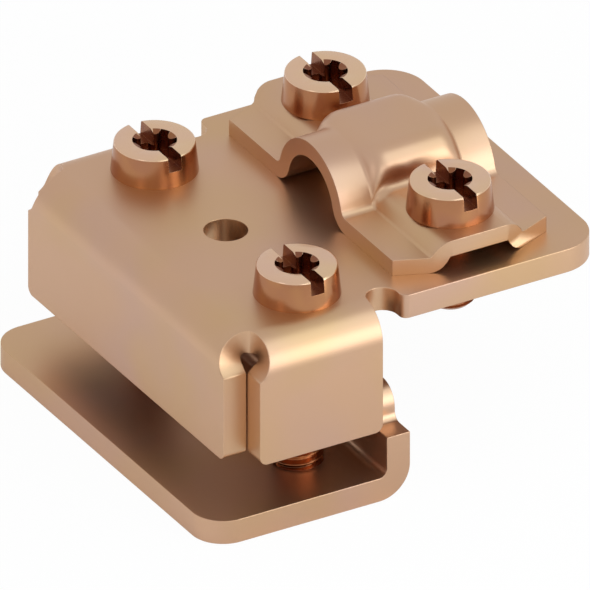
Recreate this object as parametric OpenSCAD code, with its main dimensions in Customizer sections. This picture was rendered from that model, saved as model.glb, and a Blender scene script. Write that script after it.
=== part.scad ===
// Roof seam clamp with a bridge for a round lightning conductor.
// A folded top plate carries two long screws that draw a lower jaw up against
// the folded rims, and two short screws that hold the pressed bridge.
// Z = 0 is the underside of the jaw, X runs from the folded rim to the bridge
// end, and the part is the same on both sides of Y = 0.

/* [Top plate] */
// Thickness of the top plate and of the jaw
sheet_t = 3; // [2:0.5:4]
// Inside radius of every fold in the thick sheet
fold_r = 1; // [0.5:0.25:2]
// Length of the top plate, from the front rim to the bridge end
plate_len = 49; // [46:1:60]
// Width over the outside of the two side rims
cap_w = 50; // [46:1:60]
// Width of the flat part under the bridge
wide_w = 46; // [43:1:60]
// Height of the folded rims, top face to rim edge
rim_h = 15.4; // [11:0.1:20]
// Length of a side rim along X
side_rim_len = 16; // [13:0.5:20]
// Corner radius at the bridge end
wide_corner_r = 5; // [1:0.5:8]
// Corner radius of the rims' free edges
rim_corner_r = 1; // [0.5:0.1:2]
// Radius of the round relief at a folded corner
corner_relief_r = 3.2; // [2.8:0.1:3.6]
// Distance of the relief's centre down the fold
corner_relief_drop = 1.85; // [1.6:0.05:2.2]
// Radius of the notch at the end of a side rim
notch_r = 1.85; // [1:0.05:2.5]
// Seam between the front rim and a side rim
rim_seam = 0.05; // [0.05:0.05:0.5]
// Edge rounding beside that notch
notch_edge_r = 0.9; // [0.3:0.1:1.2]
// Diameter of the middle hole
middle_hole_d = 5; // [3:0.5:8]

/* [Jaw] */
// Open height between the jaw and the rims
jaw_gap = 6; // [5:0.1:8]
// Ledge of the jaw in front of the front rim
jaw_ledge = 3.5; // [2:0.5:8]
// Clearance between the side rims and the upturned lip
lip_clear = 0.5; // [0.3:0.1:1]
// Height of the lip's two ends
lip_end_h = 8; // [5:0.5:8.5]
// Height of the lip's middle tab
lip_tab_h = 12; // [10:0.5:14]
// Clearance between the tab and the side rims
tab_clear = 0.4; // [0.3:0.1:1.5]
// Radius of the tab's top corners
tab_corner_r = 2.6; // [0.5:0.1:3]
// Fillet at the foot of the tab
tab_foot_r = 1; // [0.5:0.1:2]
// Corner radius of the jaw's ledge
jaw_corner_r = 4; // [1:0.5:6]

/* [Bridge] */
// Thickness of the bridge sheet
bridge_t = 2; // [1.5:0.1:2.5]
// Width of the bridge along the conductor
bridge_w = 20; // [18:0.5:24]
// Length of the bridge at its corners
bridge_corner_len = 36.7; // [36:0.1:38]
// Length of the bridge along its middle
bridge_mid_len = 41.4; // [39:0.1:43]
// Distance from the middle of the bridge to the plate's end
bridge_inset = 15; // [12.5:0.5:17]
// Inside radius of the arch
arch_r = 5.1; // [4.5:0.1:5.4]
// Height of the arch's centre over the plate
arch_lift = 0.85; // [0.5:0.05:1.4]
// Fillet between the arch and its feet
arch_foot_r = 1; // [0.6:0.1:1.4]
// Step of the pressed rib over the feet
rib_step = 1.9; // [1.7:0.1:2.4]
// Width of the rib's level top
rib_w = 8.8; // [8:0.1:10]
// Width of the slope beside the rib
rib_slope_w = 2; // [1.5:0.1:2.5]
// Height of the crown's straight wall
crown_wall_h = 0.1; // [0.05:0.05:1]
// Half width of the crown over its walls
crown_half_w = 6.8; // [6.5:0.1:7.2]
// Radius of the crown's shoulders
crown_r = 3; // [2.8:0.1:3.4]
// Fillet between the crown's walls and the rib
crown_foot_r = 1.2; // [1:0.1:1.8]

/* [Screws] */
// Nominal diameter of the screw thread
screw_d = 6; // [5:0.5:6.5]
// Radial clearance between a thread and its tapped hole
thread_clear = 0.05; // [0.02:0.01:0.1]
// Radial clearance of the plain screw holes
hole_clear = 0.3; // [0.2:0.05:0.5]
// Head diameter at its seat
head_d = 10; // [9:0.1:11]
// Head diameter at its top
head_top_d = 9.2; // [8.5:0.1:10]
// Head height
head_h = 3.7; // [3.4:0.1:4.2]
// Edge rounding of the head
head_edge_r = 0.25; // [0.1:0.05:0.5]
// Width of the driver slot
slot_w = 1.7; // [1.2:0.1:2]
// Depth of the driver slot
slot_depth = 1.75; // [1.2:0.05:2]
// Radius of the six-lobe recess over its lobes
lobe_r = 2.53; // [2.2:0.01:2.8]
// Radius of the recess between its lobes
web_r = 1.83; // [1.7:0.01:2]
// Depth of the recess
recess_depth = 2.6; // [2:0.1:2.9]
// Depth of the chamfer at the recess
recess_chamfer = 0.35; // [0.2:0.05:0.5]
// Chamfer at the screw's tip
tip_chamfer = 0.7; // [0.3:0.1:1]
// Length of a clamp screw under its head
clamp_screw_len = 24; // [23:0.1:24.3]
// Length of a bridge screw under its head
bridge_screw_len = 12; // [10:0.5:14]
// Distance between the two clamp screws
clamp_pitch = 32; // [28:0.5:33]
// Distance from the front rim to the clamp screws
clamp_inset = 13; // [11:0.5:13.5]
// Distance between the two bridge screws
bridge_pitch = 28; // [27.5:0.5:29]

/* [Hidden] */
$fn = 96;

copper = [0.80, 0.56, 0.40];
screw_copper = [0.74, 0.46, 0.29];

fold_out_r = fold_r + sheet_t;
// Radius at which a fold keeps its flat length
fold_flat_r = fold_r + 0.5 * sheet_t;
total_len = jaw_ledge + plate_len;

jaw_x0 = -total_len / 2;
cap_x0 = jaw_x0 + jaw_ledge;
plate_x1 = cap_x0 + plate_len;
side_rim_x0 = cap_x0 + sheet_t + rim_seam;
side_rim_x1 = cap_x0 + sheet_t + side_rim_len;
lip_x0 = side_rim_x1 + lip_clear;
lip_x1 = lip_x0 + sheet_t;
clamp_x = cap_x0 + clamp_inset;
bridge_x = plate_x1 - bridge_inset;

rim_z = sheet_t + jaw_gap;
plate_top_z = rim_z + rim_h;
plate_z = plate_top_z - sheet_t;
bridge_seat_z = plate_top_z + rib_step + bridge_t;
// Height of the bridge's crown over the plate
crown_h = rib_step + bridge_t + crown_foot_r + crown_wall_h + crown_r;

cap_half = cap_w / 2;
wide_half = wide_w / 2;
// Where the flat of the cap meets the folds
flat_x0 = cap_x0 + fold_out_r;
flat_half = cap_half - fold_out_r;
// Half width between the side rims
inner_half = cap_half - sheet_t;

// Notch between a side rim and the wide part
notch_x = side_rim_x1 + notch_r;
notch_y = flat_half + 0.6;
wide_x0 = notch_x + notch_r;

tab_half = inner_half - tab_clear;
eps = 0.01;
far = 200;

// Copies its children to both sides of Y = 0
module both_sides() {
    children();
    mirror([0, 1, 0]) children();
}

// Turns an X-Z outline into a solid along Y, from y0 to y1
module along_y(y0, y1) {
    translate([0, y1, 0]) rotate([90, 0, 0]) linear_extrude(height = y1 - y0) children();
}

// Turns a Y-Z outline into a solid along X, from x0 to x1
module along_x(x0, x1) {
    translate([x0, 0, 0]) rotate([90, 0, 90]) linear_extrude(height = x1 - x0) children();
}

// Rectangle whose four corners have their own radii, lower left first
module corner_rect(x0, y0, x1, y1, r) {
    xs = [x0, x1, x1, x0];
    ys = [y0, y0, y1, y1];
    sx = [1, -1, -1, 1];
    sy = [1, 1, -1, -1];
    difference() {
        translate([x0, y0]) square([x1 - x0, y1 - y0]);
        for (i = [0:3]) if (r[i] > 0) translate([xs[i], ys[i]]) scale([sx[i], sy[i]]) difference() {
            translate([-1, -1]) square(r[i] + 1);
            translate([r[i], r[i]]) circle(r[i]);
        }
    }
}

// Section of a fold with its rim, hanging from [0, 0], with its outer face at X = 0
module rim_section(h) {
    difference() {
        intersection() {
            translate([fold_out_r, -fold_out_r]) circle(fold_out_r);
            translate([0, -fold_out_r]) square(fold_out_r);
        }
        translate([fold_out_r, -fold_out_r]) circle(fold_r);
    }
    translate([0, -h]) square([sheet_t, h - fold_out_r + eps]);
}

// The round relief is cut in the flat sheet and then folded with it, so its
// wall turns round the fold. It opens towards -Y from a rim that hangs as in
// rim_section, with the corner of the flat at Y = 0.
relief_out = sqrt(pow(corner_relief_r, 2) - pow(corner_relief_drop, 2));
relief_end_y = -fold_r;
relief_len = corner_relief_drop + sqrt(pow(corner_relief_r, 2) - pow(relief_end_y + relief_out, 2));
relief_arc = fold_flat_r * PI / 2;
relief_steps = 32;

function relief_wall(s) =
    -relief_out + sqrt(max(0, pow(corner_relief_r, 2) - pow(s - corner_relief_drop, 2)));

// Point at the distance s along the folded sheet and the radius r from the fold's axis
function fold_point(s, r) =
    let (a = min(s / fold_flat_r, PI / 2) * 180 / PI, drop = max(0, s - relief_arc))
    [fold_out_r - r * sin(a), -fold_out_r + r * cos(a) - drop];

module relief_cutter() {
    reach = 12;
    r_in = fold_r * 0.4;
    r_out = fold_out_r + 1;
    rings = [for (i = [0:relief_steps])
        let (s = relief_len * i / relief_steps,
             inner = fold_point(s, r_in), outer = fold_point(s, r_out), y = relief_wall(s))
        [[inner[0], -reach, inner[1]], [outer[0], -reach, outer[1]],
         [outer[0], y, outer[1]], [inner[0], y, inner[1]]]];
    points = [for (ring = rings, p = ring) p];
    sides = [for (i = [0:relief_steps - 1], k = [0:3])
        let (a = 4 * i + k, b = 4 * i + (k + 1) % 4, c = b + 4, d = a + 4)
        each [[a, b, c], [a, c, d]]];
    last = 4 * relief_steps;
    caps = [[0, 3, 2], [0, 2, 1], [last, last + 1, last + 2], [last, last + 2, last + 3]];
    polyhedron(points = points, faces = [for (f = concat(sides, caps)) [f[2], f[1], f[0]]]);
}

// Front rim with its fold, relieved at both ends
module front_rim() {
    difference() {
        intersection() {
            translate([cap_x0, 0, plate_top_z]) along_y(-inner_half, inner_half) rim_section(rim_h);
            along_x(cap_x0 - 1, flat_x0 + 1)
                corner_rect(-inner_half, rim_z, inner_half, plate_top_z, [rim_corner_r, rim_corner_r, 0, 0]);
        }
        both_sides() translate([cap_x0, -flat_half, plate_top_z]) relief_cutter();
    }
}

// Side rim on the -Y side with its fold, relieved at its front end
module side_rim() {
    difference() {
        intersection() {
            translate([0, -cap_half, plate_top_z]) along_x(side_rim_x0, side_rim_x1) rim_section(rim_h);
            along_y(-cap_half - 1, -flat_half + 1)
                corner_rect(side_rim_x0, rim_z, side_rim_x1, plate_top_z, [rim_corner_r, rim_corner_r, 0, 0]);
        }
        // The same relief seen from the side rim, so X and Y change places
        translate([flat_x0, -cap_half, plate_top_z]) mirror([1, -1, 0]) relief_cutter();
    }
}

// Flat of the top plate, seen from above
module plate_outline() {
    difference() {
        union() {
            translate([flat_x0 - eps, -flat_half - eps])
                square([wide_x0 + notch_r - flat_x0, 2 * (flat_half + eps)]);
            corner_rect(wide_x0, -wide_half, plate_x1, wide_half,
                [notch_edge_r, wide_corner_r, wide_corner_r, notch_edge_r]);
        }
        both_sides() {
            translate([notch_x, -notch_y]) circle(notch_r);
            translate([side_rim_x1, -notch_y - far]) square([2 * notch_r, far]);
        }
    }
}

module top_plate() {
    color(copper) difference() {
        union() {
            translate([0, 0, plate_z]) linear_extrude(height = sheet_t) plate_outline();
            front_rim();
            both_sides() side_rim();
        }
        translate([clamp_x, 0, plate_z - 1]) cylinder(d = middle_hole_d, h = sheet_t + 2);
        both_sides() {
            translate([clamp_x, -clamp_pitch / 2, plate_z - 1])
                cylinder(r = screw_d / 2 + hole_clear, h = sheet_t + 2);
            translate([bridge_x, -bridge_pitch / 2, plate_z - 1])
                cylinder(r = screw_d / 2 + thread_clear, h = sheet_t + 2);
        }
    }
}

// Lip of the jaw seen along X: low ends, a rounded tab and its foot fillets
module lip_outline() {
    corner_rect(-cap_half, 0, cap_half, lip_end_h, [0, 0, 0, 0]);
    corner_rect(-tab_half, lip_end_h - eps, tab_half, lip_tab_h, [0, 0, tab_corner_r, tab_corner_r]);
    for (s = [-1, 1]) scale([s, 1]) difference() {
        translate([tab_half - eps, lip_end_h - eps]) square(tab_foot_r + eps);
        translate([tab_half + tab_foot_r, lip_end_h + tab_foot_r]) circle(tab_foot_r);
    }
}

// Jaw seen along Y: the flat, the fold and the lip
module jaw_section() {
    translate([jaw_x0, 0]) square([lip_x1 - fold_out_r - jaw_x0 + eps, sheet_t]);
    translate([lip_x0, fold_out_r - eps]) square([sheet_t, lip_tab_h - fold_out_r + eps]);
    translate([lip_x1 - fold_out_r, fold_out_r]) difference() {
        intersection() {
            circle(fold_out_r);
            translate([0, -fold_out_r]) square(fold_out_r);
        }
        circle(fold_r);
    }
}

module jaw_plate() {
    color(copper) difference() {
        intersection() {
            along_y(-cap_half, cap_half) jaw_section();
            along_x(jaw_x0 - 1, lip_x1 + 1) lip_outline();
            translate([0, 0, -1]) linear_extrude(height = lip_tab_h + 2)
                corner_rect(jaw_x0, -cap_half, lip_x1 + 1, cap_half, [jaw_corner_r, 0, 0, jaw_corner_r]);
        }
        both_sides() translate([clamp_x, -clamp_pitch / 2, -1])
            cylinder(r = screw_d / 2 + thread_clear, h = sheet_t + 2);
    }
}

// The bridge is one pressed sheet. At its two edges it is a plain arch on flat
// feet, and along its middle a rib lifts the feet and squares the arch into a
// crown. Both sections have the same number of points, so each step between
// them is a blend.
foot_steps = 6;
arch_steps = 24;
slope_steps = 8;
// The pressed arch is this much too narrow inside, and a true bore opens it
bore_stock = 0.1;
// Turn of the inner fillet that the bore leaves clear
bore_run_out = 8;

// Points on an arc from the angle a0 to a1
function arc_points(c, r, a0, a1, n) =
    [for (i = [0:n]) let (a = a0 + (a1 - a0) * i / n) [c[0] + r * cos(a), c[1] + r * sin(a)]];

// Upper (side = 1) or lower (side = 0) face of the plain arch on the +Y half, from
// the top outwards. Points are [y, z over the plate].
function arch_half(side) =
    let (foot_r = side ? arch_foot_r : arch_foot_r + bridge_t,
         r = side ? arch_r + bridge_t : arch_r - bore_stock,
         cz = bridge_t + arch_foot_r,
         rise = cz - arch_lift,
         cy = sqrt(pow(arch_r + bridge_t + arch_foot_r, 2) - rise * rise),
         a = atan2(rise, cy))
    concat(arc_points([0, arch_lift], r, 90, a, arch_steps),
           arc_points([cy, cz], foot_r, 180 + a + (side ? 0 : bore_run_out), 270, foot_steps));

// The same for the crown: half of its flat top, a shoulder, a wall and a fillet
function crown_half(side) =
    let (inset = side ? 0 : bridge_t,
         shoulder_c = [crown_half_w - crown_r, crown_h - crown_r],
         foot_c = [crown_half_w + crown_foot_r, rib_step + bridge_t + crown_foot_r],
         flat_n = floor(arch_steps / 3))
    concat([for (i = [0:flat_n - 1]) [shoulder_c[0] * i / flat_n, crown_h - inset]],
           arc_points(shoulder_c, crown_r - inset, 90, 0, arch_steps - flat_n),
           arc_points(foot_c, crown_foot_r + inset, 180, 270, foot_steps));

// Ease from 0 to 1 for the slope beside the rib
function ease(t) = (1 - cos(180 * t)) / 2;

// Share of the rib at the distance x from the bridge's middle
function rib_share(x) =
    1 - ease(min(1, max(0, (abs(x) - rib_w / 2) / rib_slope_w)));

// Half length of the bridge at the distance x from its middle
function bridge_end(x) =
    bridge_mid_len / 2 - max(0, abs(x) - rib_w / 2) * (bridge_mid_len - bridge_corner_len)
        / (bridge_w - rib_w);

function bridge_half(x, side) =
    let (k = rib_share(x), a = arch_half(side), b = crown_half(side), n = len(a) - 1)
    concat([for (i = [0:n]) a[i] * (1 - k) + b[i] * k],
           [[bridge_end(x), k * rib_step + (side ? bridge_t : 0)]]);

// Closed section of the bridge, upper face from -Y to +Y and back below
function bridge_ring(x) =
    let (up = bridge_half(x, 1), low = bridge_half(x, 0), n = len(up) - 1)
    concat([for (i = [n:-1:1]) [-up[i][0], up[i][1]]], up,
           [for (i = [n:-1:0]) low[i]], [for (i = [1:n]) [-low[i][0], low[i][1]]]);

bridge_slope_xs = [for (i = [0:slope_steps]) rib_w / 2 + rib_slope_w * i / slope_steps];
bridge_xs = concat([-bridge_w / 2], [for (i = [slope_steps:-1:0]) -bridge_slope_xs[i]],
                   bridge_slope_xs, [bridge_w / 2]);

module bridge_shell() {
    rings = [for (x = bridge_xs) bridge_ring(x)];
    m = len(rings[0]);
    half = m / 2;
    last = (len(rings) - 1) * m;
    points = [for (i = [0:len(rings) - 1], p = rings[i]) [bridge_xs[i], p[0], p[1]]];
    sides = [for (i = [0:len(rings) - 2], k = [0:m - 1])
        let (a = m * i + k, b = m * i + (k + 1) % m, c = b + m, d = a + m)
        each [[a, c, b], [a, d, c]]];
    // Each end is a strip between the upper and the lower face
    caps = [for (k = [0:half - 2])
        let (a = k, b = k + 1, c = m - 2 - k, d = m - 1 - k)
        each [[a, b, c], [a, c, d], [last + a, last + c, last + b], [last + a, last + d, last + c]]];
    polyhedron(points = points, faces = concat(sides, caps));
}

module conductor_bridge() {
    color(copper) translate([bridge_x, 0, plate_top_z]) difference() {
        bridge_shell();
        // True bore of the arch at both edges
        translate([0, 0, arch_lift]) rotate([0, 90, 0])
            cylinder(r = arch_r, h = bridge_w + 2, center = true);
        both_sides() translate([0, -bridge_pitch / 2, 0])
            cylinder(r = screw_d / 2 + hole_clear, h = crown_h);
    }
}

// Six-lobe driver recess, seen from above
module lobe_outline() {
    web_round = 0.9;
    difference() {
        circle(lobe_r);
        for (i = [0:5]) rotate(60 * i) translate([web_r + web_round, 0]) circle(web_round);
    }
}

// Screw with its seat at Z = 0 and its slot along Y
module screw(length) {
    shank_r = screw_d / 2;
    head_r = head_d / 2;
    head_top_r = head_top_d / 2;
    rounding = [for (a = [15:30:75]) [head_top_r - head_edge_r * (1 - cos(a)),
                                      head_h - head_edge_r * (1 - sin(a))]];
    color(screw_copper) difference() {
        rotate_extrude() polygon(concat(
            [[0, -length], [shank_r - tip_chamfer, -length], [shank_r, -length + tip_chamfer],
             [shank_r, 0], [head_r, 0], [head_top_r, head_h - head_edge_r]],
            rounding, [[head_top_r - head_edge_r, head_h], [0, head_h]]));
        translate([-slot_w / 2, -head_d, head_h - slot_depth]) cube([slot_w, 2 * head_d, head_h]);
        translate([0, 0, head_h - recess_depth]) linear_extrude(height = head_h) lobe_outline();
        translate([0, 0, head_h - recess_chamfer])
            cylinder(r1 = web_r, r2 = lobe_r + eps, h = recess_chamfer + eps);
    }
}

module clamp_screw(side) {
    translate([clamp_x, side * clamp_pitch / 2, plate_top_z]) screw(clamp_screw_len);
}

module bridge_screw(side) {
    translate([bridge_x, side * bridge_pitch / 2, bridge_seat_z]) screw(bridge_screw_len);
}

top_plate();
jaw_plate();
conductor_bridge();
clamp_screw(1);  // clamp_screw_left
clamp_screw(-1);  // clamp_screw_right
bridge_screw(1);  // bridge_screw_left
bridge_screw(-1);  // bridge_screw_right
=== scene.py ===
import math

import bmesh
import bpy
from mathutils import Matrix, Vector


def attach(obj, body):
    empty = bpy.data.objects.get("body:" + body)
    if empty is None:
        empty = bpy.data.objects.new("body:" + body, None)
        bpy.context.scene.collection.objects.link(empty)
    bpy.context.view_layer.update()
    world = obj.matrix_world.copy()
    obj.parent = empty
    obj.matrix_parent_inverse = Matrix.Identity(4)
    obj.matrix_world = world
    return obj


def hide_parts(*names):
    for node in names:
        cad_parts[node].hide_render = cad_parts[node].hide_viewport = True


mm = 0.001
weld = 0.001 * mm  # points closer than this are one point
cutWithin = 0.0005 * mm  # a cut passes through points closer than this

# the camera looks at the clamp as the photograph does, with no perspective
viewSettings = {
    "azimuth": 30.0,  # degrees from +Y towards +X
    "elevation": 30.0,
    "aim": (0.39 * mm, 2.02 * mm, 12.0 * mm),
    "width": 66.29 * mm,
    "distance": 0.4,
}

studioSettings = {
    "skyColour": (1.0, 1.0, 1.0),
    "skyLevel": 0.72,
    "floorSize": 4.0,
    "floorDrop": 0.02 * mm,
    "floorColour": (0.93, 0.93, 0.93),
    "floorRoughness": 0.9,
    "whiteToCamera": 0.96,  # share of plain white that the camera sees in the floor
    "whiteToMetal": 0.33,  # and that is seen in reflections
}

# square lamps that look at the middle of the clamp's foot, "towards" them and "far" from it
lampSettings = [
    {"name": "keyBox", "towards": (0.43, -0.50, 0.75), "far": 0.32, "size": 0.22,
     "radiance": 0.95, "colour": (0.78, 0.98, 1.0)},
    {"name": "frontCard", "towards": (-0.12, -0.88, 0.42), "far": 0.36, "size": 0.10,
     "radiance": 1.7, "colour": (0.90, 1.0, 1.0)},
    {"name": "lowCard", "towards": (0.46, -0.84, 0.28), "far": 0.17, "size": 0.10,
     "radiance": 2.3, "colour": (0.95, 1.0, 1.0)},
    {"name": "sideStrip", "towards": (-0.9, -0.35, 0.45), "far": 0.34, "size": 0.08,
     "radiance": 1.0, "colour": (1.0, 1.0, 1.0)},
]

# satin copper of the folded sheets, blasted and then tumbled
sheetFinish = {
    "colour": (0.69, 0.435, 0.285),
    "pinkColour": (0.66, 0.425, 0.315),
    "goldColour": (0.68, 0.440, 0.250),
    "cloudSize": 14 * mm,
    "roughness": 0.38,
    "roughnessSpread": 0.05,
    "smudgeSize": 5 * mm,
    "grainSize": 0.16 * mm,
    "grainHeight": 0.0016 * mm,
    "edgeRadius": 0.12 * mm,
}

# painted shade: a darker copy of the copper, for the underside and inside of the cap where the cap shades
# itself
undersideShadeFinish = {
    "colour": (0.34, 0.17, 0.09),
    "pinkColour": (0.31, 0.16, 0.10),
    "goldColour": (0.35, 0.18, 0.085),
    "cloudSize": 9 * mm,
    "roughness": 0.46,
    "roughnessSpread": 0.10,
    "smudgeSize": 4 * mm,
    "grainSize": 0.22 * mm,
    "grainHeight": 0.0025 * mm,
    "edgeRadius": 0.12 * mm,
}

# painted light: a lighter copy of the copper, for the tops of the screw heads that face the sky
litScrewTopFinish = {
    "colour": (0.84, 0.56, 0.38),
    "pinkColour": (0.81, 0.54, 0.40),
    "goldColour": (0.84, 0.58, 0.36),
    "cloudSize": 6 * mm,
    "roughness": 0.22,
    "roughnessSpread": 0.05,
    "smudgeSize": 2 * mm,
    "grainSize": 0.3 * mm,
    "grainHeight": 0.0005 * mm,
    "edgeRadius": 0.07 * mm,
}

# painted shade: a darker copy of the copper, for the turned sides and threads of the screws
sideShadeFinish = {
    "colour": (0.46, 0.205, 0.10),
    "pinkColour": (0.43, 0.19, 0.105),
    "goldColour": (0.50, 0.235, 0.105),
    "cloudSize": 3 * mm,
    "roughness": 0.21,
    "roughnessSpread": 0.04,
    "smudgeSize": 1.5 * mm,
    "grainSize": 0.25 * mm,
    "grainHeight": 0.0008 * mm,
    "edgeRadius": 0.06 * mm,
}

# painted shade: the darkest copy of the copper, for the inside of the slots and recesses
recessShadeFinish = {
    "colour": (0.30, 0.115, 0.06),
    "pinkColour": (0.26, 0.10, 0.06),
    "goldColour": (0.34, 0.14, 0.06),
    "cloudSize": 1.5 * mm,
    "roughness": 0.28,
    "roughnessSpread": 0.10,
    "smudgeSize": 0.8 * mm,
    "grainSize": 0.12 * mm,
    "grainHeight": 0.0010 * mm,
    "edgeRadius": 0.05 * mm,
}


class Wire:
    # an output socket that takes part in Python sums
    def __init__(self, graph, socket):
        self.graph = graph
        self.socket = socket

    def math(self, operation, first, second):
        return self.graph.node("ShaderNodeMath", {"operation": operation}, [first, second])

    def __add__(self, other):
        return self.math("ADD", self, other)

    def __radd__(self, other):
        return self.math("ADD", other, self)

    def __sub__(self, other):
        return self.math("SUBTRACT", self, other)

    def __mul__(self, other):
        return self.math("MULTIPLY", self, other)

    def __rmul__(self, other):
        return self.math("MULTIPLY", other, self)


class Graph:
    # builds the nodes of one material
    def __init__(self, name):
        self.material = bpy.data.materials.new(name)
        self.material.use_nodes = True
        self.tree = self.material.node_tree
        self.tree.nodes.clear()

    def node(self, kind, settings=None, values=(), output=0):
        made = self.tree.nodes.new(kind)
        for key, value in (settings or {}).items():
            setattr(made, key, value)
        pairs = values.items() if isinstance(values, dict) else enumerate(values)
        for key, value in pairs:
            if isinstance(value, Wire):
                self.tree.links.new(value.socket, made.inputs[key])
            elif value is not None:
                made.inputs[key].default_value = value
        return Wire(self, made.outputs[output]) if made.outputs else None


def rgba(colour):
    return (*colour, 1.0)


def copperMaterial(name, finish):
    graph = Graph(name)
    place = graph.node("ShaderNodeTexCoord", output="Object")

    def noise(size, detail, seed):
        shifted = graph.node("ShaderNodeMapping", {}, {"Vector": place, "Location": (seed, seed, seed)})
        return graph.node("ShaderNodeTexNoise", {},
                          {"Vector": shifted, "Scale": 1 / size, "Detail": detail})

    def mixColours(share, first, second):
        return graph.node("ShaderNodeMix", {"data_type": "RGBA"}, {0: share, 6: first, 7: second}, 2)

    def spread(wave, low, high):
        return graph.node("ShaderNodeMapRange", {}, [wave, low, high, 0.0, 1.0])

    cloudFrom, cloudTo = 0.45, 0.70  # the clouds grow in between these values of the noise
    pink = spread(noise(finish["cloudSize"], 1.0, 0.3), cloudFrom, cloudTo)
    gold = spread(noise(finish["cloudSize"], 1.0, 0.7), cloudFrom, cloudTo)
    colour = mixColours(pink, rgba(finish["colour"]), rgba(finish["pinkColour"]))
    colour = mixColours(gold, colour, rgba(finish["goldColour"]))

    smudge = noise(finish["smudgeSize"], 3.0, 0.1)
    roughness = finish["roughness"] + finish["roughnessSpread"] * (smudge - 0.5)

    grain = noise(finish["grainSize"], 2.0, 0.5)
    rounded = graph.node("ShaderNodeBevel", {"samples": 6}, {"Radius": finish["edgeRadius"]})
    normal = graph.node("ShaderNodeBump", {}, {"Strength": 1.0, "Distance": finish["grainHeight"],
                                              "Height": grain, "Normal": rounded})
    shader = graph.node("ShaderNodeBsdfPrincipled", {}, {
        "Base Color": colour, "Metallic": 1.0, "Roughness": roughness, "Normal": normal})
    graph.node("ShaderNodeOutputMaterial", {}, [shader])
    return graph.material


def floorMaterial(settings):
    graph = Graph("studioFloor")
    paper = graph.node("ShaderNodeBsdfDiffuse", {}, [
        rgba(settings["floorColour"]), settings["floorRoughness"]])
    white = graph.node("ShaderNodeEmission", {}, [rgba((1.0, 1.0, 1.0)), 1.0])
    # the camera and the metal see a whiter floor, which keeps a trace of the shadow
    share = (graph.node("ShaderNodeLightPath", output="Is Camera Ray") * settings["whiteToCamera"]
             + graph.node("ShaderNodeLightPath", output="Is Glossy Ray") * settings["whiteToMetal"]
             + graph.node("ShaderNodeLightPath", output="Is Transmission Ray") * settings["whiteToMetal"])
    shader = graph.node("ShaderNodeMixShader", {}, [share, paper, white])
    graph.node("ShaderNodeOutputMaterial", {}, [shader])
    return graph.material


def setMaterial(piece, material):
    piece.data.materials.clear()
    piece.data.materials.append(material)


def buildCamera(settings):
    turn = math.radians(settings["azimuth"])
    tilt = math.radians(settings["elevation"])
    looking = Vector((math.sin(turn) * math.cos(tilt), math.cos(turn) * math.cos(tilt), -math.sin(tilt)))
    spot = Vector(settings["aim"]) - looking * settings["distance"]
    bpy.ops.object.camera_add(location=spot, rotation=looking.to_track_quat("-Z", "Y").to_euler())
    camera = bpy.context.object
    camera.data.type = "ORTHO"
    camera.data.ortho_scale = settings["width"]
    camera.data.clip_start = 0.001
    camera.data.clip_end = 20.0
    bpy.context.scene.camera = camera


def buildStudio(settings, lamps):
    world = bpy.data.worlds.new("softSky")
    world.use_nodes = True
    sky = world.node_tree.nodes["Background"]
    sky.inputs["Color"].default_value = rgba(settings["skyColour"])
    sky.inputs["Strength"].default_value = settings["skyLevel"]
    bpy.context.scene.world = world
    bpy.context.scene.view_settings.view_transform = "Standard"

    bpy.ops.mesh.primitive_plane_add(size=settings["floorSize"], location=(0, 0, -settings["floorDrop"]))
    floor = bpy.context.object
    floor.name = "studio_floor"
    setMaterial(floor, floorMaterial(settings))

    for lamp in lamps:
        towards = Vector(lamp["towards"]).normalized()
        bpy.ops.object.light_add(type="AREA", location=towards * lamp["far"],
                                 rotation=towards.to_track_quat("Z", "Y").to_euler())
        box = bpy.context.object
        box.name = lamp["name"]
        box.data.shape = "SQUARE"
        box.data.size = lamp["size"]
        box.data.color = lamp["colour"]
        box.data.energy = lamp["radiance"] * math.pi * lamp["size"] ** 2


def pickOnly(piece):
    bpy.ops.object.select_all(action="DESELECT")
    piece.select_set(True)
    bpy.context.view_layer.objects.active = piece


def pickParts(piece, kind, wanted):
    # leaves the piece in edit mode with the wanted vertices, edges or faces selected
    pickOnly(piece)
    bpy.ops.object.mode_set(mode="EDIT")
    bpy.ops.mesh.select_mode(type=kind)
    bpy.ops.mesh.select_all(action="DESELECT")
    cage = bmesh.from_edit_mesh(piece.data)
    for part in {"VERT": cage.verts, "EDGE": cage.edges, "FACE": cage.faces}[kind]:
        if wanted(part):
            part.select_set(True)
    bmesh.update_edit_mesh(piece.data)


def everyPart(part):
    return True


def leaveEdit():
    bpy.ops.object.mode_set(mode="OBJECT")


def cutAcross(piece, wanted, spot, normal):
    # draws the line on the wanted faces where a plane cuts them
    pickParts(piece, "FACE", wanted)
    bpy.ops.mesh.bisect(plane_co=spot, plane_no=normal, threshold=cutWithin)
    leaveEdit()


def weldPoints(piece, within, flatWithin=None):
    # joins points that lie together, and faces that are flat to some degrees
    pickParts(piece, "VERT", everyPart)
    bpy.ops.mesh.remove_doubles(threshold=within)
    if flatWithin is not None:
        bpy.ops.mesh.dissolve_limited(angle_limit=math.radians(flatWithin))
    leaveEdit()


def useModifier(piece, kind, settings):
    pickOnly(piece)
    modifier = piece.modifiers.new(kind.lower(), kind)
    for key, value in settings.items():
        setattr(modifier, key, value)
    bpy.ops.object.modifier_apply(modifier=modifier.name)


def combine(piece, tool, operation):
    useModifier(piece, "BOOLEAN", {"object": tool, "operation": operation, "solver": "EXACT"})
    bpy.data.objects.remove(tool)


def addRod(radius, low, high, sides, place=(0.0, 0.0)):
    bpy.ops.object.select_all(action="DESELECT")
    bpy.ops.mesh.primitive_cylinder_add(vertices=sides, radius=radius, depth=high - low,
                                        location=(*place, (low + high) / 2))
    bpy.ops.object.transform_apply(location=True, rotation=True, scale=True)
    return bpy.context.object


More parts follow.
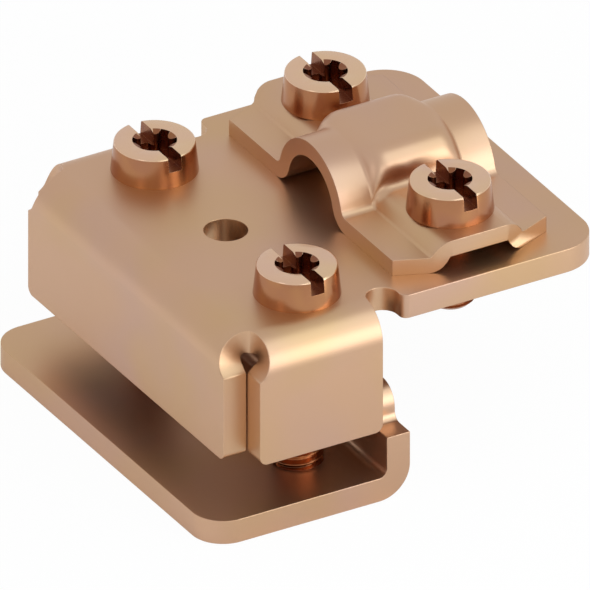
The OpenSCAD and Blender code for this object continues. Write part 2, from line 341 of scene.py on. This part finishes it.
def addCone(lowRadius, highRadius, low, high, sides):
    bpy.ops.object.select_all(action="DESELECT")
    bpy.ops.mesh.primitive_cone_add(vertices=sides, radius1=lowRadius, radius2=highRadius, depth=high - low,
                                    location=(0, 0, (low + high) / 2))
    bpy.ops.object.transform_apply(location=True, rotation=True, scale=True)
    return bpy.context.object


def smoothShade(piece, degrees):
    pickOnly(piece)
    bpy.ops.object.shade_smooth_by_angle(angle=math.radians(degrees))


# turned cheese head with a slot, a six-lobe recess and an M6 thread
screwShape = {
    "headRadius": 5.0 * mm,  # at the seat
    "topRadius": 4.6 * mm,
    "headHeight": 3.7 * mm,
    "topRounding": 0.25 * mm,
    "headSides": 96,
    "slotWidth": 1.7 * mm,
    "slotDepth": 1.75 * mm,
    "lobeRadius": 2.53 * mm,
    "webRadius": 1.83 * mm,
    "webRounding": 0.70 * mm,
    "recessDepth": 2.6 * mm,
    "recessChamfer": 0.35 * mm,
    "recessPoint": 0.5 * mm,  # drill point under the recess
    "recessSides": 72,
    "webs": 6,
    "webSides": 24,
    "pointRadius": 1.647 * mm,
    "pointSides": 36,
    "threadRadius": 3.0 * mm,
    "coreRadius": 2.45 * mm,
    "threadPitch": 1.0 * mm,
    "threadSteps": 48,
    "tipRadius": 2.3 * mm,
    "toothSteps": (0.12, 0.32, 0.12, 0.32, 0.12),  # root, flank, crest, flank and root in pitches
    "rootInHead": 0.6 * mm,
    "smoothWithin": 32,  # degrees
}


def cutRecess(head, shape):
    top, lobe, web = shape["headHeight"], shape["lobeRadius"], shape["webRadius"]
    over = 1.0 * mm  # the tools reach past the faces that they cut
    floor = top - shape["recessDepth"]
    recess = addRod(lobe, floor, top + over, shape["recessSides"])
    for turn in range(shape["webs"]):
        angle = math.radians(360 * turn / shape["webs"])
        out = web + shape["webRounding"]
        rod = addRod(shape["webRounding"], floor - over, top + 2 * over, shape["webSides"],
                     (out * math.cos(angle), out * math.sin(angle)))
        combine(recess, rod, "DIFFERENCE")
    # the countersink goes on above the head, so that no faces lie in one plane
    rise = 0.1 * mm
    slope = (lobe - web) / shape["recessChamfer"]
    countersink = addCone(web, lobe + slope * rise, top - shape["recessChamfer"], top + rise,
                          shape["recessSides"])
    combine(recess, countersink, "UNION")
    point = addCone(0.0, shape["pointRadius"], floor - shape["recessPoint"], floor + shape["recessPoint"],
                    shape["pointSides"])
    combine(recess, point, "UNION")
    combine(head, recess, "DIFFERENCE")


def buildHead(shape):
    top = shape["headHeight"]
    head = addRod(shape["headRadius"], 0.0, top, shape["headSides"])
    pickParts(head, "FACE", lambda face: face.normal.z > 0.9)
    taper = shape["topRadius"] / shape["headRadius"]
    bpy.ops.transform.resize(value=(taper, taper, 1.0))
    bpy.ops.mesh.bevel(offset=shape["topRounding"], segments=3)
    leaveEdit()

    bpy.ops.object.select_all(action="DESELECT")
    bpy.ops.mesh.primitive_cube_add(
        size=1.0, location=(0, 0, top - shape["slotDepth"] + top / 2),
        scale=(shape["slotWidth"], 3 * shape["headRadius"], top))
    bpy.ops.object.transform_apply(location=True, rotation=True, scale=True)
    combine(head, bpy.context.object, "DIFFERENCE")
    cutRecess(head, shape)
    return head


def buildThread(length, shape):
    # one tooth is drawn by extruding a point, wound up by a screw modifier and trimmed by a rod
    pitch, core, crest = shape["threadPitch"], shape["coreRadius"], shape["threadRadius"]
    spare = 2  # turns past each end
    turns = int((length + shape["rootInHead"]) / pitch) + 2 * spare
    bpy.ops.object.select_all(action="DESELECT")
    bpy.ops.mesh.primitive_plane_add(size=pitch, location=(0, 0, 0))
    thread = bpy.context.object
    pickParts(thread, "VERT", everyPart)
    bpy.ops.mesh.merge(type="CENTER")
    bpy.ops.transform.translate(value=(core, 0, -length - spare * pitch))
    for out, up in zip((0.0, crest - core, 0.0, core - crest, 0.0), shape["toothSteps"]):
        bpy.ops.mesh.extrude_region_move(TRANSFORM_OT_translate={"value": (out, 0, up * pitch)})
    leaveEdit()
    useModifier(thread, "SCREW", {
        "axis": "Z", "angle": 2 * math.pi, "screw_offset": pitch, "iterations": turns,
        "steps": shape["threadSteps"], "render_steps": shape["threadSteps"],
        "use_merge_vertices": True, "merge_threshold": weld})

    # each open end is drawn in to a point on the axis
    for end in (-1, 1):
        pickParts(thread, "VERT", lambda vert: vert.is_boundary and (vert.co.z + length / 2) * end > 0)
        bpy.ops.mesh.select_mode(type="EDGE")
        bpy.ops.mesh.extrude_region_move(TRANSFORM_OT_translate={"value": (0, 0, 0)})
        bpy.ops.mesh.merge(type="CENTER")
        leaveEdit()
    pickParts(thread, "VERT", everyPart)
    bpy.ops.mesh.remove_doubles(threshold=weld)
    bpy.ops.mesh.normals_make_consistent(inside=False)
    leaveEdit()

    rodRadius = crest + 0.2 * mm
    rod = addRod(rodRadius, -length, shape["rootInHead"], shape["threadSteps"])
    pickParts(rod, "FACE", lambda face: face.normal.z < -0.9)
    bpy.ops.mesh.bevel(offset=rodRadius - shape["tipRadius"], segments=1)
    leaveEdit()
    combine(thread, rod, "INTERSECT")
    return thread


def buildScrew(name, length, shape):
    screw = buildHead(shape)
    combine(screw, buildThread(length, shape), "UNION")
    weldPoints(screw, weld)
    smoothShade(screw, shape["smoothWithin"])
    screw.name = name
    return screw


def finishScrew(screw, shape, finishes):
    # the top takes the lighter copy as painted light, the turned side and the thread take a darker copy as
    # painted shade, the slot and the recess the darkest copy as painted shade
    bright, shadedSide, recessShade = range(3)
    screw.data.materials.clear()
    for finish in finishes:
        screw.data.materials.append(finish)
    top, lobe = shape["headHeight"], shape["lobeRadius"]
    rim = top - 0.3 * mm  # under the rounded edge of the top
    floor = top - shape["recessDepth"] - shape["recessPoint"] - 0.1 * mm
    for face in screw.data.polygons:
        spot, normal = face.center, face.normal
        across = math.hypot(spot.x, spot.y)
        outwards = (spot.x * normal.x + spot.y * normal.y) / max(across, mm)
        onTop = spot.z > rim and normal.z > 0.2 and across > 0.9 * lobe
        isCut = spot.z > floor and (across < 1.02 * lobe or outwards < 0.6 and normal.z > -0.5)
        face.material_index = bright if onTop else recessShade if isCut else shadedSide


def placeCopy(source, name, place, body, node):
    pickOnly(source)
    bpy.ops.object.duplicate(linked=False)
    piece = bpy.context.object
    piece.name = name
    piece.data.name = name
    bpy.ops.transform.translate(value=place)
    bpy.ops.object.transform_apply(location=True, rotation=True, scale=True)
    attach(piece, body)
    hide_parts(node)
    return piece


# seats of the screw heads and the bodies they ride on
screwPlaces = {
    "clamp": {"length": 24.0 * mm, "x": -9.75 * mm, "pitch": 32.0 * mm, "seat": 24.4 * mm},
    "bridge": {"length": 12.0 * mm, "x": 11.25 * mm, "pitch": 28.0 * mm, "seat": 28.3 * mm},
}

# the two folded sheets, drawn flat, cut and then folded
sheetShape = {
    "thickness": 3.0 * mm,
    "foldRadius": 1.0 * mm,  # inside
    "foldSteps": 20,
    "cornerSteps": 8,  # in a small rounded corner
    "edgeBreak": 0.10 * mm,
    "smoothWithin": 32.0,  # degrees
    "holeSides": 72,
    "weld": 0.002 * mm,
    "flatWithin": 0.2,
    "sharpFrom": 40,
    "creaseWithin": 0.15 * mm,
}
capShape = {
    "frontX": -22.75 * mm,
    "endX": 26.25 * mm,
    "halfWidth": 25.0 * mm,
    "wideHalf": 23.0 * mm,
    "rimHeight": 15.4 * mm,
    "topZ": 24.4 * mm,
    "sideRimLength": 16.0 * mm,
    "seam": 0.05 * mm,
    "reliefRadius": 3.2 * mm,
    "reliefDrop": 1.85 * mm,
    "reliefEndSteps": 5,  # between the end of the fold and the end of the relief
    "notchRadius": 1.85 * mm,
    "notchSteps": (3, 29),  # before and after the line where the flat ends
    "notchIn": 0.6 * mm,
    "notchEdge": 0.9 * mm,
    "rimCorner": 1.0 * mm,
    "endCorner": 5.0 * mm,
    "endSteps": 16,
    "holes": [(-9.75 * mm, 0.0, 2.5 * mm),  # x, y and radius
              (-9.75 * mm, 16.0 * mm, 3.3 * mm), (-9.75 * mm, -16.0 * mm, 3.3 * mm),
              (11.25 * mm, 14.0 * mm, 3.05 * mm), (11.25 * mm, -14.0 * mm, 3.05 * mm)],
}
jawShape = {
    "frontX": -26.25 * mm,
    "lipX": -0.25 * mm,  # outside of the lip
    "halfWidth": 25.0 * mm,
    "lipEnd": 8.0 * mm,
    "lipTab": 12.0 * mm,
    "tabHalf": 21.6 * mm,
    "tabCorner": 2.6 * mm,
    "tabSteps": 12,
    "tabFoot": 1.0 * mm,
    "ledgeCorner": 4.0 * mm,
    "ledgeSteps": 16,
    "holes": [(-9.75 * mm, 16.0 * mm, 3.05 * mm), (-9.75 * mm, -16.0 * mm, 3.05 * mm)],
}
bridgeShape = {
    "middleX": 11.25 * mm,
    "slopeStart": 4.4 * mm,  # CAD slope, in eight even steps in X
    "slopeRun": 2.0 * mm,
    "slopeRings": 8,
    "slopeFoot": 6.15 * mm,  # foot of the pressed slope
    "step": 1.9 * mm,  # of the rib over the feet
    "thickness": 2.0 * mm,
    "bendRadius": 0.42 * mm,  # inside of the press bends
    "archReach": 9.0 * mm,  # half width of the arch with its feet rounded
    "below": 18.0 * mm,  # a level under the whole arch
    "endFrom": 19.0 * mm,  # beyond this in Y only the ends are left
    "endTaper": 0.4196,  # lean of the CAD ends beside the rib
    "slopeTaper": 0.263,  # and of the ends of the pressed slopes
    "weld": 0.0005 * mm,
    "flatWithin": 0.6,  # degrees
    "smoothWithin": 38.0,
}


def arcPoints(centre, radius, first, last, steps):
    # points on an arc between two angles in degrees
    turns = [math.radians(first + (last - first) * step / steps) for step in range(steps + 1)]
    return [(centre[0] + radius * math.cos(turn), centre[1] + radius * math.sin(turn)) for turn in turns]


def drawSheet(half, low, thickness):
    # the half outline runs from the one end of the X axis to the other on the +Y side
    outline = half + [(x, -y) for x, y in reversed(half)]
    bpy.ops.object.select_all(action="DESELECT")
    bpy.ops.mesh.primitive_plane_add(size=mm, location=(0, 0, 0))
    sheet = bpy.context.object
    pickParts(sheet, "VERT", everyPart)
    bpy.ops.mesh.merge(type="CENTER")
    bpy.ops.transform.translate(value=(*outline[0], low))
    for here, there in zip(outline, outline[1:] + outline[:1]):
        bpy.ops.mesh.extrude_region_move(
            TRANSFORM_OT_translate={"value": (there[0] - here[0], there[1] - here[1], 0)})
    bpy.ops.mesh.select_all(action="SELECT")
    bpy.ops.mesh.remove_doubles(threshold=weld)
    bpy.ops.mesh.edge_face_add()
    bpy.ops.mesh.extrude_region_move(TRANSFORM_OT_translate={"value": (0, 0, thickness)})
    bpy.ops.mesh.select_all(action="SELECT")
    bpy.ops.mesh.normals_make_consistent(inside=False)
    leaveEdit()
    return sheet


def joinCorners(sheet, corners):
    # draws a line between two points of the outline, on both faces of the sheet
    for side in (-1, 1):
        pickParts(sheet, "VERT", lambda vert: vert.normal.z * side > 0 and any(
            math.hypot(vert.co.x - x, vert.co.y - y) < 2 * weld for x, y in corners))
        bpy.ops.mesh.vert_connect()
        leaveEdit()


def scoreSheet(sheet, onRim, start, outwards, length, steps):
    # cuts one rim of the flat sheet into strips where it will turn round its fold
    for step in range(1, steps + 1):
        cutAcross(sheet, lambda face: onRim(face.calc_center_median()),
                  Vector(start) + Vector(outwards) * length * step / steps, outwards)


def foldPoint(along, depth, shape):
    # how far out and how far round a point of the flat sheet goes in the fold
    inner = shape["foldRadius"]
    neutral = inner + shape["thickness"] / 2
    turn = min(along / neutral, math.pi / 2)
    rest = max(0.0, along - neutral * math.pi / 2)
    radius = inner + shape["thickness"] - depth
    outer = inner + shape["thickness"]
    return radius * math.sin(turn), outer - radius * math.cos(turn) + rest


def drillHoles(sheet, holes, low, high, sides):
    for x, y, radius in holes:
        combine(sheet, addRod(radius, low - mm, high + mm, sides, (x, y)), "DIFFERENCE")


def finishSheet(piece, name, body, node, creases, shape, finishes):
    weldPoints(piece, shape["weld"], shape["flatWithin"])
    useModifier(piece, "BEVEL", {
        "width": shape["edgeBreak"], "segments": 2, "use_clamp_overlap": False,
        "limit_method": "ANGLE", "angle_limit": math.radians(shape["sharpFrom"])})
    smoothShade(piece, shape["smoothWithin"])
    for edge in piece.data.edges:
        ends = [piece.data.vertices[index].co for index in edge.vertices]
        if any(all(math.hypot(end.x - x, end.y - y) < shape["creaseWithin"] for end in ends)
               for x, y in creases):
            edge.use_edge_sharp = True
    useModifier(piece, "WEIGHTED_NORMAL", {"weight": 100, "keep_sharp": True})
    piece.name = name
    piece.data.name = name
    piece.data.materials.clear()
    for finish in finishes:
        piece.data.materials.append(finish)
    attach(piece, body)
    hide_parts(node)


def buildCap(shape, sheetShape, finishes):
    thickness = sheetShape["thickness"]
    outer = sheetShape["foldRadius"] + thickness
    neutral = sheetShape["foldRadius"] + thickness / 2
    arc = neutral * math.pi / 2
    steps, cornerSteps = sheetShape["foldSteps"], sheetShape["cornerSteps"]
    flatX, flatY = shape["frontX"] + outer, shape["halfWidth"] - outer
    innerY = shape["halfWidth"] - thickness
    reach = arc + shape["rimHeight"] - outer  # flat length of a rim
    corner = shape["rimCorner"]

    # the relief is a true circle in the flat sheet, through the corner of the top face
    relief, drop = shape["reliefRadius"], shape["reliefDrop"]
    out = math.sqrt(relief ** 2 - drop ** 2)

    def reliefWall(along):
        return math.sqrt(max(0.0, relief ** 2 - (along - drop) ** 2)) - out

    def reliefSteps(edge):
        last = drop + math.sqrt(relief ** 2 - (out - edge) ** 2)
        more = shape["reliefEndSteps"]
        return [arc * step / steps for step in range(steps + 1)] + [
            arc + (last - arc) * step / more for step in range(1, more + 1)]

    rimX0 = shape["frontX"] + thickness + shape["seam"]
    rimX1 = shape["frontX"] + thickness + shape["sideRimLength"]
    frontEnd, sideEnd = flatX - reach, flatY + reach
    notch, notchX, notchY = shape["notchRadius"], rimX1 + shape["notchRadius"], flatY + shape["notchIn"]
    wideX, edge, end = notchX + notch, shape["notchEdge"], shape["endCorner"]
    half = [(frontEnd, 0.0)]
    half += arcPoints((frontEnd + corner, innerY - corner), corner, 180, 90, cornerSteps)
    half += [(flatX - along, flatY - reliefWall(along)) for along in reversed(reliefSteps(innerY - flatY))]
    half += [(flatX + reliefWall(along), flatY + along) for along in reliefSteps(flatX - rimX0)[1:]]
    half += arcPoints((rimX0 + corner, sideEnd - corner), corner, 180, 90, cornerSteps)
    half += arcPoints((rimX1 - corner, sideEnd - corner), corner, 90, 0, cornerSteps)
    # the notch has a point where the flat ends
    flatTurn = 180 + math.degrees(math.asin(shape["notchIn"] / notch))
    half += arcPoints((notchX, notchY), notch, 180, flatTurn, shape["notchSteps"][0])
    half += arcPoints((notchX, notchY), notch, flatTurn, 360, shape["notchSteps"][1])[1:]
    half += arcPoints((wideX + edge, shape["wideHalf"] - edge), edge, 180, 90, cornerSteps)
    half += arcPoints((shape["endX"] - end, shape["wideHalf"] - end), end, 90, 0, shape["endSteps"])
    half += [(shape["endX"], 0.0)]

    low = shape["topZ"] - thickness
    cap = drawSheet(half, low, thickness)
    flatEnd = notchX - notch * math.cos(math.radians(flatTurn - 180))

    def onFront(spot):
        # the relief lies on the line at 45 degrees between the two rims
        return flatX > spot.x and flatX - spot.x > abs(spot.y) - flatY

    def onSide(spot):
        return abs(spot.y) > flatY and spot.x < flatEnd + 0.01 * mm and not onFront(spot)

    joinCorners(cap, [(flatX, flatY), (flatX, -flatY)])
    scoreSheet(cap, onFront, (flatX, 0, 0), (-1, 0, 0), arc, steps)
    for side in (1, -1):
        joinCorners(cap, [(flatX, side * flatY), (flatEnd, side * flatY)])
        scoreSheet(cap, lambda spot: onSide(spot) and spot.y * side > 0,
                   (0, side * flatY, 0), (0, side, 0), arc, steps)
    for vert in cap.data.vertices:
        spot = vert.co.copy()
        depth = shape["topZ"] - spot.z
        if onFront(spot):
            across, down = foldPoint(flatX - spot.x, depth, sheetShape)
            vert.co = (flatX - across, spot.y, shape["topZ"] - down)
        elif onSide(spot):
            across, down = foldPoint(abs(spot.y) - flatY, depth, sheetShape)
            vert.co = (spot.x, math.copysign(flatY + across, spot.y), shape["topZ"] - down)
    drillHoles(cap, shape["holes"], low, shape["topZ"], sheetShape["holeSides"])
    creases = [(flatX, flatY), (flatX, -flatY)]
    finishSheet(cap, "foldedCap", "cap", "top_plate", creases, sheetShape, finishes)
    near = 0.1 * mm
    # faces on the underside and inside of the cap take the second finish, the darker copy that paints shade
    for face in cap.data.polygons:
        spot = face.center
        inside = spot.x > shape["frontX"] + thickness - near and abs(spot.y) < innerY + near
        isUnder = face.normal.z < -0.9 and spot.z > 0.9 * low
        face.material_index = int(spot.z < low + near / 2 and (inside or isUnder))


def buildJaw(shape, sheetShape, finishes):
    thickness = sheetShape["thickness"]
    outer = sheetShape["foldRadius"] + thickness
    arc = (sheetShape["foldRadius"] + thickness / 2) * math.pi / 2
    flatX = shape["lipX"] - outer
    ledge, halfWidth = shape["ledgeCorner"], shape["halfWidth"]
    tab, corner, foot = shape["tabHalf"], shape["tabCorner"], shape["tabFoot"]
    endX, tabX = (flatX + arc + height - outer for height in (shape["lipEnd"], shape["lipTab"]))
    half = [(shape["frontX"], 0.0)]
    half += arcPoints((shape["frontX"] + ledge, halfWidth - ledge), ledge, 180, 90, shape["ledgeSteps"])
    half += [(endX, halfWidth)]
    half += arcPoints((endX + foot, tab + foot), foot, 180, 270, sheetShape["cornerSteps"])
    half += arcPoints((tabX - corner, tab - corner), corner, 90, 0, shape["tabSteps"])
    half += [(tabX, 0.0)]
    jaw = drawSheet(half, 0.0, thickness)
    cutAcross(jaw, everyPart, (flatX, 0, 0), (1, 0, 0))
    scoreSheet(jaw, lambda spot: spot.x > flatX, (flatX, 0, 0), (1, 0, 0), arc, sheetShape["foldSteps"])
    for vert in jaw.data.vertices:
        along = vert.co.x - flatX
        if along > 0:
            across, up = foldPoint(along, vert.co.z, sheetShape)
            vert.co = (flatX + across, vert.co.y, up)
    drillHoles(jaw, shape["holes"], 0.0, thickness, sheetShape["holeSides"])
    finishSheet(jaw, "clampJaw", "jaw", "jaw_plate", [], sheetShape, finishes)


def pressRun(share, onTop, shape):
    # how far in from the foot of the slope one face of the bent sheet has risen by a share of the step
    inner, outer = shape["bendRadius"], shape["bendRadius"] + shape["thickness"]
    foot, head = (inner, outer) if onTop else (outer, inner)
    turn = math.acos(1 - shape["step"] / (inner + outer))
    height = min(1.0, max(0.0, share)) * shape["step"]
    if height < foot * (1 - math.cos(turn)):
        return math.sqrt(foot ** 2 - (foot - height) ** 2)
    return (inner + outer) * math.sin(turn) - math.sqrt(head ** 2 - (head - shape["step"] + height) ** 2)


def pressSlopes(bridge, shape):
    # moves the rings of the even CAD slopes on to two press bends in sheet of one thickness
    middleX, start, run, rings = (shape[key] for key in ("middleX", "slopeStart", "slopeRun", "slopeRings"))
    shares = [(1 + math.cos(math.pi * ring / rings)) / 2 for ring in range(rings + 1)]

    def onTop(vert):
        outY = vert.co.y if abs(vert.co.y) < shape["archReach"] else 0
        return vert.normal.dot(Vector((0, outY, vert.co.z - shape["below"]))) > 0

    tops = [onTop(vert) for vert in bridge.data.vertices]
    slack = 0.02  # of a ring
    for vert, top in zip(bridge.data.vertices, tops):
        away = abs(vert.co.x - middleX)
        ring = (away - start) / run * rings
        if -slack < ring < rings + slack:
            low = min(rings - 1, max(0, int(ring)))
            share = shares[low] + (shares[low + 1] - shares[low]) * (ring - low)
            moved = shape["slopeFoot"] - pressRun(share, top, shape)
            vert.co.x = middleX + math.copysign(moved, vert.co.x - middleX)
            if abs(vert.co.y) > shape["endFrom"]:
                outwards = (away - shape["slopeFoot"]) * shape["endTaper"]
                outwards += (shape["slopeFoot"] - moved) * shape["slopeTaper"]
                vert.co.y += math.copysign(outwards, vert.co.y)


def buildBridge(shape, material):
    # the arch, the rib and the feet keep their CAD shape, welded and with the facets smoothed
    bridge = bpy.data.objects.new("pressedBridge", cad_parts["conductor_bridge"].data.copy())
    bpy.context.scene.collection.objects.link(bridge)
    weldPoints(bridge, shape["weld"], shape["flatWithin"])
    pressSlopes(bridge, shape)
    smoothShade(bridge, shape["smoothWithin"])
    setMaterial(bridge, material)
    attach(bridge, "bridge")
    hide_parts("conductor_bridge")


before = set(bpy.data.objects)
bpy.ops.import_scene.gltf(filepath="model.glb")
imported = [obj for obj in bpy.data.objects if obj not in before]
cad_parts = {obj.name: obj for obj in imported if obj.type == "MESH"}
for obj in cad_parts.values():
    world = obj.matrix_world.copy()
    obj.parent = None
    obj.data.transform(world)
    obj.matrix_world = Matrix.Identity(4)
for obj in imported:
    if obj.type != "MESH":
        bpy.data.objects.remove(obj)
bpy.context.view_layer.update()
bpy.ops.object.select_all(action="DESELECT")
print("frame loaded:", ", ".join(sorted(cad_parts)))

buildCamera(viewSettings)
buildStudio(studioSettings, lampSettings)
print("camera, floor and lamps placed")

sheetCopper = copperMaterial("satinCopper", sheetFinish)
litScrewTopCopper = copperMaterial("litTopCopper", litScrewTopFinish)
shadedUndersideCopper = copperMaterial("shadedUndersideCopper", undersideShadeFinish)
sideShadeCopper = copperMaterial("sideShadeCopper", sideShadeFinish)
recessShadeCopper = copperMaterial("recessShadeCopper", recessShadeFinish)
print("finishes made")

buildCap(capShape, sheetShape, (sheetCopper, shadedUndersideCopper))
buildJaw(jawShape, sheetShape, (sheetCopper,))
buildBridge(bridgeShape, sheetCopper)
print("cap, jaw and bridge ready")

for kind, place in screwPlaces.items():
    master = buildScrew(kind + "ScrewMaster", place["length"], screwShape)
    finishScrew(master, screwShape, (litScrewTopCopper, sideShadeCopper, recessShadeCopper))
    for side, sign in (("left", 1), ("right", -1)):
        spot = (place["x"], sign * place["pitch"] / 2, place["seat"])
        placeCopy(master, kind + "Screw" + side.title(), spot,
                  f"{side}_{kind}_screw", f"{kind}_screw_{side}")
    bpy.data.objects.remove(master)
    print("screws ready:", kind)
